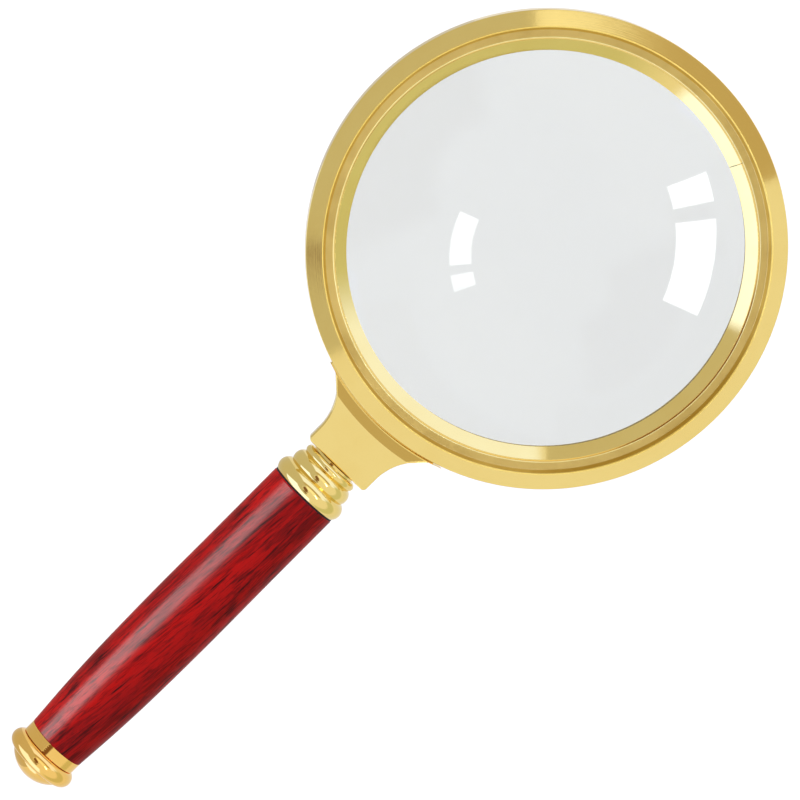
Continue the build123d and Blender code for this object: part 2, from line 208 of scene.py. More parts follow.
def finish_mesh(bm, name, sharp=32):
    """Turns a bmesh into a smooth shaded object whose hard edges stay hard."""
    bmesh.ops.remove_doubles(bm, verts=bm.verts, dist=1e-7)
    bmesh.ops.recalc_face_normals(bm, faces=bm.faces)
    mesh = bpy.data.meshes.new(name)
    bm.to_mesh(mesh)
    bm.free()
    mesh.shade_smooth()
    mesh.set_sharp_from_angle(angle=math.radians(sharp))
    piece = bpy.data.objects.new(name, mesh)
    bpy.context.scene.collection.objects.link(piece)
    return piece


def revolve(name, outline, place, segments, sweep=2 * math.pi, start=0.0, wobble=None, closed=True):
    """Turns an outline about its axis. An outline that starts and ends on the axis isn't closed.
    wobble changes a point's (a, b) with the angle, for threads. A part turn gets end caps."""
    bm = bmesh.new()
    full = sweep > 2 * math.pi - 1e-6
    count = segments if full else segments + 1
    rows = []
    for index in range(count):
        angle = start + sweep * index / segments
        row = []
        for a, b in outline:
            if wobble:
                a, b = wobble(a, b, angle)
            row.append(bm.verts.new(place(a, b, angle)))
        rows.append(row)
    size = len(outline)
    spans = size if closed else size - 1
    for index in range(segments):
        row = rows[index]
        other = rows[(index + 1) % count]
        for step in range(spans):
            after = (step + 1) % size
            bm.faces.new((row[step], row[after], other[after], other[step]))
    if not full:
        bm.faces.new(rows[0])
        bm.faces.new(list(reversed(rows[-1])))
    return finish_mesh(bm, name)


def paint(piece, material, chosen=None):
    """Adds a material, to every face or to the faces that the test picks by their centre."""
    piece.data.materials.append(material)
    slot = len(piece.data.materials) - 1
    if chosen is None:
        return
    for face in piece.data.polygons:
        if chosen(face.center, face.normal):
            face.material_index = slot


# ------------------------------------------------------------------ material helpers
class Nodes:
    """Short names for building a node tree."""

    def __init__(self, name):
        self.material = bpy.data.materials.new(name)
        self.material.use_nodes = True
        self.tree = self.material.node_tree
        self.shader = self.tree.nodes["Principled BSDF"]
        self.output = self.tree.nodes["Material Output"]

    def add(self, kind, **inputs):
        node = self.tree.nodes.new(kind)
        for key, value in inputs.items():
            name = key.replace("_", " ")
            if name in node.inputs:
                self.feed(node.inputs[name], value)
            else:
                setattr(node, key, value)
        return node

    def feed(self, socket, value):
        if isinstance(value, bpy.types.NodeSocket):
            self.tree.links.new(value, socket)
        else:
            socket.default_value = value

    def math(self, operation, first, second=0.0, third=None, clamp=False):
        node = self.tree.nodes.new("ShaderNodeMath")
        node.operation = operation
        node.use_clamp = clamp
        self.feed(node.inputs[0], first)
        self.feed(node.inputs[1], second)
        if third is not None:
            self.feed(node.inputs[2], third)
        return node.outputs[0]

    def remap(self, value, low, high, new_low=0.0, new_high=1.0, smooth=True):
        node = self.tree.nodes.new("ShaderNodeMapRange")
        node.interpolation_type = "SMOOTHSTEP" if smooth else "LINEAR"
        self.feed(node.inputs["Value"], value)
        limits = {"From Min": low, "From Max": high, "To Min": new_low, "To Max": new_high}
        for key, number in limits.items():
            self.feed(node.inputs[key], number)
        return node.outputs[0]

    def blend(self, share, first, second):
        node = self.tree.nodes.new("ShaderNodeMix")
        node.data_type = "RGBA"
        self.feed(node.inputs[0], share)
        self.feed(node.inputs[6], first)
        self.feed(node.inputs[7], second)
        return node.outputs[2]

    def vector(self, operation, first, second=None, scale=None):
        node = self.tree.nodes.new("ShaderNodeVectorMath")
        node.operation = operation
        self.feed(node.inputs[0], first)
        if second is not None:
            self.feed(node.inputs[1], second)
        if scale is not None:
            self.feed(node.inputs["Scale"], scale)
        return node.outputs["Value"] if operation in ("DOT_PRODUCT", "LENGTH") else node.outputs[0]

    def noise(self, vector, scale, detail=3.0, rough=0.55, distortion=0.0):
        node = self.tree.nodes.new("ShaderNodeTexNoise")
        self.feed(node.inputs["Vector"], vector)
        node.inputs["Scale"].default_value = scale
        node.inputs["Detail"].default_value = detail
        node.inputs["Roughness"].default_value = rough
        node.inputs["Distortion"].default_value = distortion
        return node.outputs["Fac"]

    def bump(self, height, strength, distance, normal=None):
        node = self.tree.nodes.new("ShaderNodeBump")
        node.inputs["Strength"].default_value = strength
        node.inputs["Distance"].default_value = distance
        self.feed(node.inputs["Height"], height)
        if normal is not None:
            self.feed(node.inputs["Normal"], normal)
        return node.outputs[0]

    def place(self):
        return self.tree.nodes.new("ShaderNodeTexCoord").outputs["Object"]

    def stretched(self, scale, offset=(0, 0, 0)):
        node = self.tree.nodes.new("ShaderNodeMapping")
        self.feed(node.inputs["Vector"], self.place())
        node.inputs["Location"].default_value = offset
        node.inputs["Scale"].default_value = scale
        return node.outputs[0]


GOLD = (0.90, 0.70, 0.25, 1)
GOLD_DEEP = (0.885, 0.675, 0.23, 1)


def gold(name, rough=0.075, lines="ring", line_depth=1.0, tone=GOLD, deep=GOLD_DEEP):
    """Bright gold plate over turned metal: faint lathe lines, a soft orange peel, small marks."""
    n = Nodes(name)
    place = n.place()
    patches = n.noise(place, 90, 4, 0.6)
    specks = n.noise(place, 2600, 2, 0.6)
    n.feed(n.shader.inputs["Base Color"], n.blend(n.remap(patches, 0.35, 0.7), tone, deep))
    n.shader.inputs["Metallic"].default_value = 1.0
    wear = n.remap(specks, 0.62, 0.78, 0.0, 0.06)
    cloud = n.remap(patches, 0.3, 0.75, rough * 0.75, rough * 1.3)
    n.feed(n.shader.inputs["Roughness"], n.math("ADD", cloud, wear))
    if lines == "ring":
        flat = n.vector("MULTIPLY", n.vector("SUBTRACT", place, (LENS_X, 0, 0)), (1, 1, 0))
        along = n.vector("LENGTH", flat)
    else:
        split = n.add("ShaderNodeSeparateXYZ")
        n.feed(split.inputs[0], place)
        along = split.outputs["X"]
    cut = n.tree.nodes.new("ShaderNodeTexNoise")
    cut.noise_dimensions = "1D"
    n.feed(cut.inputs["W"], along)
    cut.inputs["Scale"].default_value = 5200
    cut.inputs["Detail"].default_value = 2.0
    peel = n.noise(place, 700, 2, 0.5)
    first = n.bump(cut.outputs["Fac"], 0.05 * line_depth, 0.00004)
    second = n.bump(peel, 0.04, 0.00012, first)
    n.feed(n.shader.inputs["Normal"], second)
    return n.material


def rosewood():
    """Red stained rosewood: grain that crosses the grip at a slant, under a satin lacquer."""
    n = Nodes("rosewood_lacquered")
    slant = n.tree.nodes.new("ShaderNodeMapping")
    n.feed(slant.inputs["Vector"], n.place())
    slant.inputs["Rotation"].default_value = (0, math.radians(1.5), math.radians(6))
    drift = n.noise(n.stretched((16, 70, 70)), 1.0, 2, 0.5)
    bent = n.tree.nodes.new("ShaderNodeVectorMath")
    bent.operation = "MULTIPLY_ADD"
    n.feed(bent.inputs[0], drift)
    bent.inputs[1].default_value = (0.0, 0.0022, 0.0022)
    n.feed(bent.inputs[2], slant.outputs[0])

    def stretch(along, across, shift=0.0):
        node = n.tree.nodes.new("ShaderNodeMapping")
        n.feed(node.inputs["Vector"], bent.outputs[0])
        node.inputs["Location"].default_value = (shift, 0, shift)
        node.inputs["Scale"].default_value = (along, across, across)
        return node.outputs[0]

    broad = n.noise(stretch(22, 150), 1.0, 3, 0.5)
    figure = n.noise(stretch(70, 460, 3.0), 1.0, 4, 0.6)
    streak = n.noise(stretch(60, 900, 7.0), 1.0, 4, 0.62)
    fine = n.noise(stretch(170, 2600), 1.0, 3, 0.6)
    pore = n.noise(stretch(300, 5200), 1.0, 2, 0.5)
    bright = (0.34, 0.0036, 0.0030, 1)
    mid = (0.24, 0.0032, 0.0034, 1)
    dark = (0.040, 0.0020, 0.0028, 1)
    ink = (0.012, 0.0014, 0.0018, 1)
    tone = n.blend(n.remap(broad, 0.34, 0.60), mid, bright)
    tone = n.blend(n.remap(figure, 0.48, 0.70, 0.0, 0.55), tone, dark)
    tone = n.blend(n.remap(streak, 0.52, 0.66, 0.0, 0.75), tone, dark)
    tone = n.blend(n.remap(fine, 0.46, 0.66, 0.0, 0.62), tone, dark)
    vein = n.math("MULTIPLY", n.remap(streak, 0.60, 0.70), n.remap(fine, 0.40, 0.60, 0.2, 0.75))
    tone = n.blend(vein, tone, ink)
    tone = n.blend(n.remap(pore, 0.66, 0.74, 0.0, 0.5), tone, ink)
    n.feed(n.shader.inputs["Base Color"], tone)
    n.feed(n.shader.inputs["Roughness"], n.remap(fine, 0.3, 0.7, 0.34, 0.46))
    n.shader.inputs["Specular IOR Level"].default_value = 0.02
    n.shader.inputs["Coat Weight"].default_value = 0.11
    n.shader.inputs["Coat Roughness"].default_value = 0.24
    n.shader.inputs["Coat IOR"].default_value = 1.5
    grain = n.bump(n.math("ADD", streak, n.math("MULTIPLY", pore, 0.6)), 0.10, 0.0001)
    n.feed(n.shader.inputs["Normal"], grain)
    return n.material


def glass(name, tint, rough, shine=0.5):
    """Tinted glass; on the lens the grey tint is painted shade. rough frosts it for the ground edge, and
    shine is how much it mirrors.
    """
    n = Nodes(name)
    dust = n.noise(n.place(), 900, 3, 0.7)
    n.shader.inputs["Base Color"].default_value = tint
    n.shader.inputs["Transmission Weight"].default_value = 1.0
    n.shader.inputs["IOR"].default_value = 1.52
    n.shader.inputs["Specular IOR Level"].default_value = shine
    n.feed(n.shader.inputs["Roughness"], n.remap(dust, 0.66, 0.8, rough, rough + 0.02))
    return n.material


def plain_metal(name, tone, rough):
    """Machined metal of the hidden fittings, with fine tool marks."""
    n = Nodes(name)
    marks = n.noise(n.stretched((9000, 300, 300)), 1.0, 2, 0.6)
    cloud = n.noise(n.place(), 240, 3, 0.6)
    darker = tuple(value * 0.72 for value in tone[:3]) + (1,)
    n.feed(n.shader.inputs["Base Color"], n.blend(n.remap(cloud, 0.3, 0.7), tone, darker))
    n.shader.inputs["Metallic"].default_value = 1.0
    n.feed(n.shader.inputs["Roughness"], n.remap(marks, 0.3, 0.7, rough * 0.8, rough * 1.25))
    n.feed(n.shader.inputs["Normal"], n.bump(marks, 0.12, 0.00003))
    return n.material


def black_rubber():
    """Matt black rubber of the two gaskets."""
    n = Nodes("gasket_black")
    grain = n.noise(n.place(), 4200, 3, 0.6)
    dark = (0.006, 0.005, 0.005, 1)
    light = (0.02, 0.018, 0.018, 1)
    n.feed(n.shader.inputs["Base Color"], n.blend(n.remap(grain, 0.3, 0.7), dark, light))
    n.feed(n.shader.inputs["Roughness"], n.remap(grain, 0.3, 0.7, 0.45, 0.62))
    n.shader.inputs["Specular IOR Level"].default_value = 0.1
    n.feed(n.shader.inputs["Normal"], n.bump(grain, 0.2, 0.00003))
    return n.material


gold_ring = gold("gold_plate_ring")
# painted highlight: a brighter, more orange gold on the crest's rounded edge stands in for the bright line
# of light along it
gold_crest_highlight = gold(
    "gold_plate_crest_highlight", rough=0.42,
    tone=(1.0, 0.76, 0.20, 1), deep=(0.98, 0.72, 0.17, 1),
)
# painted highlight: a pale cream gold on the lip's rounded edge stands in for the thin bright line of light
# along it
gold_lip_highlight = gold(
    "gold_plate_lip_highlight", rough=0.36,
    tone=(1.0, 0.89, 0.42, 1), deep=(0.98, 0.84, 0.36, 1),
)
# painted shade: the satin band below the crest takes a much darker gold than the rest of the ring, standing
# in for its shade
gold_satin_shaded = gold(
    "gold_plate_satin_shaded", rough=0.42, line_depth=4.0,
    tone=(0.59, 0.425, 0.135, 1), deep=(0.54, 0.385, 0.115, 1),
)
gold_handle = gold("gold_plate_turned", rough=0.055, lines="handle")
gold_pommel = gold(
    "gold_plate_pommel", rough=0.06, lines="handle",
    tone=(0.94, 0.60, 0.165, 1), deep=(0.91, 0.56, 0.145, 1),
)
wood = rosewood()
# painted shade: the lens glass is tinted grey so the backdrop seen through it is darker, standing in for the
# shade the ring and lens would cast on it
LENS_SHADE_TINT = (0.733, 0.752, 0.731, 1)
lens_glass = glass("lens_glass", LENS_SHADE_TINT, 0.0)
lens_coated = glass("lens_glass_coated", LENS_SHADE_TINT, 0.0, shine=0.0)
lens_edge = glass("lens_ground_edge", (0.62, 0.80, 0.70, 1), 0.45)
steel = plain_metal("zinc_plated_steel", (0.60, 0.60, 0.61, 1), 0.28)
brass = plain_metal("machined_brass", (0.80, 0.60, 0.27, 1), 0.25)
rubber = black_rubber()

# ------------------------------------------------------------------ camera
# The view is from above, leaning towards +Y, with the handle on the picture's diagonal.
camera_data = bpy.data.cameras.new("camera")
camera = bpy.data.objects.new("camera", camera_data)
bpy.context.scene.collection.objects.link(camera)
bpy.context.scene.camera = camera
CAMERA_PLACE = Vector((0.0885, 0.17157, 1.01833))
CAMERA_TARGET = Vector((0.009317, -0.000217, 0.010))
CAMERA_UP_ANGLE = math.radians(45 - 0.187)
camera_data.sensor_width = 36.0
camera_data.lens = 212.158
camera_data.clip_end = 10.0
look = (CAMERA_TARGET - CAMERA_PLACE).normalized()
side = look.cross(Vector((math.cos(CAMERA_UP_ANGLE), math.sin(CAMERA_UP_ANGLE), 0))).normalized()
up = side.cross(look)
camera.matrix_world = Matrix.Translation(CAMERA_PLACE) @ Matrix((side, up, -look)).transposed().to_4x4()

# ------------------------------------------------------------------ front bezel
bezel_outline = rounded([
    (THREAD_BORE, BEZEL_BOTTOM, 0.1),
    (BEZEL_RADIUS, BEZEL_BOTTOM, 0.45),
    (BEZEL_RADIUS, BEZEL_SHOULDER, 0.16),
    (CREST_RADIUS, BEZEL_TOP + 0.02, CREST_ROUND),
    (LAND_RADIUS, LAND_TOP, 0.10),
    (LIP_RADIUS, LIP_TOP, 0.14),
    (LIP_RADIUS, LIP_BOTTOM, 0.05),
    (THREAD_BORE, LIP_BOTTOM, 0.0),
])
bezel = revolve("bezel_ring", bezel_outline, ring_point, RING_SEGMENTS)
paint(bezel, gold_ring)


def on_land(centre, normal):
    """The flat band between the crest and the lip, which is satin and gets a darker gold as painted shade.
    """
    radius = math.hypot(centre.x - LENS_X, centre.y) / MM
    return LIP_RADIUS + 0.1 < radius < LAND_RADIUS - 0.02 and normal.z > 0.9


def on_edge(radius, height, reach):
    """A test for the faces of a rounded edge of the bezel, which get a brighter gold as a painted highlight.
    """
    def test(centre, normal):
        off = math.hypot(centre.x - LENS_X, centre.y) / MM - radius
        return math.hypot(off, centre.z / MM - height) < reach
    return test


paint(bezel, gold_satin_shaded, on_land)
# the crest and the lip edge get painted highlights: brighter gold where light catches the rounded edges
paint(bezel, gold_crest_highlight, on_edge(CREST_RADIUS, BEZEL_TOP, 0.24))
paint(bezel, gold_lip_highlight, on_edge(LIP_RADIUS, LIP_TOP, 0.16))
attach(bezel, "bezel")
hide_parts("front_bezel")

# ------------------------------------------------------------------ retaining ring, split
retainer_outline = rounded([
    (RETAINER_BORE, RETAINER_BORE_TOP, 0.0),
    (RETAINER_CONE, RETAINER_CONE_TOP, 0.04),
    (RETAINER_NECK, RETAINER_CONE_TOP - 0.08, 0.0),
    (RETAINER_NECK, RETAINER_LEDGE, 0.0),
    (RETAINER_RADIUS, RETAINER_LEDGE, 0.1),
    (RETAINER_RADIUS, RETAINER_BOTTOM, 0.1),
    (RETAINER_FOOT, RETAINER_BOTTOM, 0.0),
    (RETAINER_FOOT, 8.12, 0.0),
    (RETAINER_BORE, RETAINER_BORE_TOP - 0.05, 0.0),
])
half_gap = SPLIT_WIDTH / 2 / LENS_RADIUS
retainer = revolve(
    "retainer_spring_ring", retainer_outline, ring_point, RING_SEGMENTS,
    sweep=2 * math.pi - 2 * half_gap, start=SPLIT_ANGLE + half_gap,
)
paint(retainer, gold_ring)
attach(retainer, "retainer")
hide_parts("retaining_ring")

# ------------------------------------------------------------------ lens
edge = LENS_RADIUS - 0.3
lens_outline = [(edge * step / 40, lens_height(edge * step / 40)) for step in range(41)]
lens_outline += [(LENS_RADIUS, lens_height(LENS_RADIUS) - 0.2)]
lens_outline += [(LENS_RADIUS, lens_height(LENS_RADIUS, False) + 0.2)]
lens_outline += [(edge * step / 40, lens_height(edge * step / 40, False)) for step in range(40, -1, -1)]
lens = revolve("lens_body", lens_outline, ring_point, RING_SEGMENTS, closed=False)
paint(lens, lens_glass)
paint(lens, lens_coated, lambda centre, normal: normal.z < -0.9)
paint(lens, lens_edge, lambda centre, normal: abs(normal.z) < 0.9)
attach(lens, "frame")
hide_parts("lens")

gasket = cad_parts["lens_gasket"]
gasket.data.materials.clear()
gasket.data.materials.append(rubber)

# ------------------------------------------------------------------ rear ring with its screw thread
tube_steps = 33
thread_low = FLANGE_TOP + 0.3
thread_high = TUBE_TOP - 0.25
ring_outline = rounded([
    (REAR_BORE, SEAT_TOP, 0.1),
    (REAR_BORE, 4.1, 0.3),
    (45.85, 0.0, 0.45),
    (48.35, 0.0, 1.1),
    (48.65, REAR_STEP, 1.1),
    (FLANGE_RADIUS, REAR_STEP, 0.6),
    (FLANGE_RADIUS, FLANGE_TOP, 0.12),
    (TUBE_RADIUS, FLANGE_TOP, 0.0),
])
ring_outline += [
    (TUBE_RADIUS, thread_low + (thread_high - thread_low) * step / tube_steps)
    for step in range(tube_steps + 1)
]
ring_outline += [(TUBE_RADIUS - 0.1, TUBE_TOP), (47.3, TUBE_TOP), (47.3, 8.9), (45.25, 8.9)]
ring_outline += [(45.25, SEAT_TOP)]


def ring_thread(radius, height, angle):
    """Cuts the bezel's thread into the outside of the tube."""
    if abs(radius - TUBE_RADIUS) > 1e-6 or not thread_low <= height <= thread_high:
        return radius, height
    phase = (height / RING_PITCH - angle / (2 * math.pi)) % 1.0
    tooth = 1 - abs(2 * phase - 1)
    fade = min(1.0, (height - thread_low) / 0.4, (thread_high - height) / 0.4)
    return radius - RING_THREAD_DEPTH * fade * min(1.0, max(0.0, 1.25 * tooth - 0.1)), height


rear_ring = revolve("frame_ring", ring_outline, ring_point, RING_SEGMENTS, wobble=ring_thread)
paint(rear_ring, gold_ring)
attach(rear_ring, "frame")
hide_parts("lens_frame")

# ------------------------------------------------------------------ yoke
sweep_y = YOKE_HALF + YOKE_SWEEP
sweep_reach = BEZEL_RADIUS + YOKE_SWEEP
sweep_x = math.sqrt(sweep_reach**2 - sweep_y**2)


def outline_half(distance):
    """Half width of the yoke's plan at a distance from the lens axis along the handle."""
    if distance >= YOKE_END - YOKE_CORNER:
        into = min(1.0, (distance - YOKE_END + YOKE_CORNER) / YOKE_CORNER)
        return YOKE_HALF - YOKE_CORNER * (1 - math.sqrt(max(0.0, 1 - into**2)))
    if distance >= sweep_x:
        return YOKE_HALF
    return sweep_y - math.sqrt(max(0.0, YOKE_SWEEP**2 - (sweep_x - distance) ** 2))


def station_x(radius, y):
    """Sections follow the ring near it and become straight towards the yoke's end."""
    share = min(1.0, max(0.0, (radius - 57.0) / 5.0))
    share = share * share * (3 - 2 * share)
    curved = math.sqrt(max(0.0, radius**2 - y * y))
    return curved * (1 - share) + radius * share


def station_half(radius):
    """Half width of the section at a station."""
    low, high = 0.0, radius * 0.45
    for _ in range(50):
        middle = (low + high) / 2
        if outline_half(station_x(radius, middle)) > middle:
            low = middle
        else:
            high = middle
    return low


def yoke_stations():
    """(station radius, top height, bottom height) from the ring to the end face."""
    stations = [(50.6, FLANGE_TOP - 0.05), (51.6, FLANGE_TOP), (RECESS_RADIUS, FLANGE_TOP)]
    stations += [(RECESS_RADIUS + 0.02, SLOPE_BOTTOM - 0.08), (RECESS_RADIUS + 0.1, SLOPE_BOTTOM)]
    slope = rounded([
        (RECESS_RADIUS + 0.1, SLOPE_BOTTOM, 0.0),
        (SLOPE_INNER, SLOPE_BOTTOM, 0.10),
        (SLOPE_OUTER, YOKE_TOP, 0.10),
        (YOKE_END, YOKE_TOP, 0.0),
    ])
    stations += slope[1:-1]
    straight = YOKE_END - YOKE_CORNER
    stations += [(55.8 + (straight - 55.8) * step / 14, YOKE_TOP) for step in range(0, 14)]
    for step in range(9):
        turn = math.radians(90 * step / 8)
        stations.append((straight + YOKE_CORNER * math.sin(turn), YOKE_TOP))
    rows = []
    for radius, top in stations:
        into = max(0.0, radius - (YOKE_END - YOKE_EDGE)) / YOKE_EDGE
        drop = YOKE_EDGE * (1 - math.sqrt(max(0.0, 1 - min(1.0, into) ** 2)))
        rows.append((radius, top - drop, YOKE_BOTTOM + drop))
    return rows


# turns of a quarter circle, for the rounded top edge
TURNS = [math.radians(18 * step) for step in range(6)]


def build_yoke():
    """Joins the sections into one closed mesh."""
    bm = bmesh.new()
    across = 28
    rows = []
    for radius, top, bottom in yoke_stations():
        full = station_half(min(radius, YOKE_END - 1e-4)) if radius > 52.9 else 17.2 * radius / 52.9
        edge_round = min(YOKE_EDGE, (top - bottom) * 0.3)
        side_low = min(top - edge_round - 0.1, YOKE_TOP - YOKE_SIDE)
        half = full - (YOKE_TOP - YOKE_SIDE - side_low) * YOKE_LEAN
        flat = half - edge_round
        low_half = full - (YOKE_TOP - YOKE_SIDE - bottom) * YOKE_LEAN
        reach = low_half - 0.35
        right = [
            (flat + edge_round * math.sin(turn), top - edge_round * (1 - math.cos(turn)))
            for turn in TURNS
        ]
        right += [(half, side_low), (half - 0.06, side_low - 0.12)]
        right += [(low_half + YOKE_LEAN, bottom + 1), (low_half + 0.1, bottom + 0.35), (reach, bottom)]
        section = [(-flat + 2 * flat * step / across, top) for step in range(across)] + right
        section += [(reach - 2 * reach * step / across, bottom) for step in range(1, across)]
        section += [(-y, z) for y, z in reversed(right[1:])]
        row = []
        for y, z in section:
            x = LENS_X - station_x(radius, y) * MM
            row.append(bm.verts.new(Vector((x, y * MM, z * MM))))
        rows.append(row)
    size = len(rows[0])
    for row, other in zip(rows[:-1], rows[1:]):
        for step in range(size):
            after = (step + 1) % size
            bm.faces.new((row[step], row[after], other[after], other[step]))
    bm.faces.new(rows[0])
    bm.faces.new(list(reversed(rows[-1])))
    return finish_mesh(bm, "frame_yoke", sharp=28)


yoke = build_yoke()
paint(yoke, gold_ring)
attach(yoke, "frame")
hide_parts("lens_frame")


# ------------------------------------------------------------------ screws with real threads
def threaded_rod(name, start, end, radius, pitch, plain=0.0):
    """A rod on the handle axis with a helical thread, plain for a length at its start."""
    depth = pitch * 0.54
    steps = int((end - start) / pitch * 8)
    outline = [(start, 0.0), (start, radius - depth)]
    outline += [(start + (end - start) * step / steps, radius) for step in range(1, steps)]
    outline += [(end, radius - depth), (end, 0.0)]

    def thread(distance, r, angle):
        if r < radius - 1e-6:
            return distance, r
        phase = (distance / pitch - angle / (2 * math.pi)) % 1.0
        tooth = 1 - abs(2 * phase - 1)
        fade = min(1.0, max(0.0, (distance - start - plain) / 0.5))
        groove = depth * fade * min(1.0, max(0.0, 1.3 * tooth - 0.15))
        tip = max(0.0, 1 - (end - distance) / 0.5) * depth * 0.9
        return distance, r - max(groove, tip)

    return revolve(name, outline, handle_point, 64, wobble=thread, closed=False)


stud = threaded_rod("stud_screw", STUD_ROOT, STUD_TIP, STUD_RADIUS, STUD_PITCH, plain=STUD_PLAIN)
paint(stud, steel)
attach(stud, "frame")
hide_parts("neck_stud")

# ------------------------------------------------------------------ collar
# three beads, each an arc from one end over its top to the next end
bead_ends = ((COLLAR_START, 5.75), (67.8, 6.4), (71.0, 7.35), (COLLAR_END, 8.2))
bead_tops = ((66.8, 6.8), (69.75, 7.66), (73.2, 8.92))
collar_outline = []
for top, start, end in zip(bead_tops, bead_ends[:-1], bead_ends[1:]):
    collar_outline += arc_through(start, top, end, steps=22)
collar_outline += [(COLLAR_END, COLLAR_COUNTERBORE), (COLLAR_STEP, COLLAR_COUNTERBORE)]
collar_outline += [(COLLAR_STEP, COLLAR_BORE), (COLLAR_START, COLLAR_BORE)]
collar = revolve("collar_beads", collar_outline, handle_point, HANDLE_SEGMENTS)
paint(collar, gold_handle)
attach(collar, "handle")
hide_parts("collar")

# ------------------------------------------------------------------ grip
GRIP_POINTS = (
    (GRIP_START + 0.25, 8.38), (95.0, 8.38), (114.0, 8.44),
    (131.0, 8.19), (142.0, 7.71), (TENON_START, 7.0),
)


def through(points, steps=12):
    """A smooth run through the points, with slopes taken from their neighbours."""
    slopes = []
    last = len(points) - 1
    for index in range(len(points)):
        low = points[max(0, index - 1)]
        high = points[min(last, index + 1)]
        slopes.append((high[1] - low[1]) / (high[0] - low[0]))
    run = []
    for index in range(last):
        (x0, y0), (x1, y1) = points[index], points[index + 1]
        span = x1 - x0
        for step in range(steps):
            t = step / steps
            y = (2 * t**3 - 3 * t**2 + 1) * y0 + (t**3 - 2 * t**2 + t) * span * slopes[index]
            y += (-2 * t**3 + 3 * t**2) * y1 + (t**3 - t**2) * span * slopes[index + 1]
            run.append((x0 + span * t, y))
    run.append(points[-1])
    return run


grip_outline = [(GRIP_START, GRIP_COUNTERBORE), (GRIP_START, 8.2)] + through(GRIP_POINTS)
grip_outline += [(TENON_START, TENON_RADIUS), (GRIP_END, TENON_RADIUS), (GRIP_END, GRIP_BORE)]
grip_outline += [(GRIP_STEP, GRIP_BORE), (GRIP_STEP, GRIP_COUNTERBORE)]
grip = revolve("grip_wood", grip_outline, handle_point, HANDLE_SEGMENTS)
paint(grip, wood)
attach(grip, "handle")
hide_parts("grip")

# ------------------------------------------------------------------ ferrule and pommel
# five shallow waves, six microns either way, as turning leaves them
FERRULE_RADIUS = 7.02
FERRULE_RIM = 6.9
WAVE_DEPTH = 0.006
WAVE_STEPS = 24
ferrule_outline = [(FERRULE_START, FERRULE_SOCKET), (FERRULE_START, FERRULE_RIM)]
for step in range(WAVE_STEPS + 1):
    share = step / WAVE_STEPS
    wave = WAVE_DEPTH * math.cos(share * 10 * math.pi)
    distance = FERRULE_START + 0.1 + (FERRULE_END - FERRULE_START - 0.2) * share
    ferrule_outline.append((distance, FERRULE_RADIUS - 0.01 + wave))
ferrule_outline += [(FERRULE_END, FERRULE_RIM), (FERRULE_END, FERRULE_BORE)]
ferrule_outline += [(FERRULE_FLOOR, FERRULE_BORE), (FERRULE_FLOOR, FERRULE_SOCKET)]
ferrule = revolve("ferrule_sleeve", ferrule_outline, handle_point, HANDLE_SEGMENTS)
paint(ferrule, gold_pommel)
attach(ferrule, "handle")
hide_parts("ferrule")

POMMEL_NECK = 159.15
DOME_FOOT = 6.45
dome_height = POMMEL_TIP - POMMEL_NECK
dome_radius = (DOME_FOOT**2 + dome_height**2) / (2 * dome_height)
dome_angle = math.asin(DOME_FOOT / dome_radius)
pommel_outline = arc_through((POMMEL_START, 7.0), (157.0, 8.41), (POMMEL_NECK, 6.75), steps=28)
pommel_outline += [
    (POMMEL_TIP - dome_radius * (1 - math.cos(dome_angle * turn)), dome_radius * math.sin(dome_angle * turn))
    for turn in [1 - step / 24 for step in range(25)]
]
hollow = [(NUT_END, 0.0), (NUT_END, NUT_RADIUS), (POMMEL_SEAT, NUT_RADIUS)]
hollow += [(POMMEL_SEAT, POMMEL_SOCKET), (POMMEL_START, POMMEL_SOCKET)]
pommel_outline = hollow + pommel_outline
pommel = revolve("pommel_cap", pommel_outline, handle_point, HANDLE_SEGMENTS, closed=False)
paint(pommel, gold_pommel)
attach(pommel, "pommel_body")
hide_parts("pommel")

rod = threaded_rod("tie_rod_screw", ROD_START, ROD_END, ROD_RADIUS, ROD_PITCH, plain=ROD_PLAIN)
paint(rod, steel)
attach(rod, "handle")
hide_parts("tie_rod")

for node, material in (
    ("neck_washer", gold_handle), ("end_washer", gold_handle), ("collar_gasket", rubber),
    ("handle_insert", brass), ("pommel_nut", brass),
):
    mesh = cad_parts[node].data
    mesh.materials.clear()
    mesh.materials.append(material)

# ------------------------------------------------------------------ floor
floor_mesh = bpy.data.meshes.new("floor")
FLOOR_HALF = 6.0
FLOOR_DROP = 0.0004
floor_corners = [(x * FLOOR_HALF, y * FLOOR_HALF, 0) for x, y in ((-1, -1), (1, -1), (1, 1), (-1, 1))]
floor_mesh.from_pydata(floor_corners, [], [(0, 1, 2, 3)])
floor = bpy.data.objects.new("floor", floor_mesh)
bpy.context.scene.collection.objects.link(floor)
floor.location.z = -FLOOR_DROP
floor_nodes = Nodes("floor_paper")
mottle = floor_nodes.noise(floor_nodes.place(), 60, 3, 0.5)
PAPER = (0.835, 0.823, 0.776, 1)
PAPER_LIGHT = (0.847, 0.835, 0.787, 1)
floor_nodes.feed(floor_nodes.shader.inputs["Base Color"], floor_nodes.blend(mottle, PAPER, PAPER_LIGHT))
floor_nodes.shader.inputs["Roughness"].default_value = 0.9
floor_nodes.shader.inputs["Specular IOR Level"].default_value = 0.0
floor_mesh.materials.append(floor_nodes.material)
# the floor is a backdrop: the parts neither mirror it nor take its colour
floor.visible_glossy = False
floor.visible_diffuse = False
floor.visible_shadow = False

# ------------------------------------------------------------------ studio light
# The sky is built from soft sectors about the vertical. Angles are degrees: tilt is measured from
# straight up and azimuth from +X towards +Y.
world = bpy.data.worlds.new("studio")
bpy.context.scene.world = world
world.use_nodes = True


class Sky(Nodes):
    """The same helpers on the world's node tree."""

    def __init__(self, tree):
        self.tree = tree


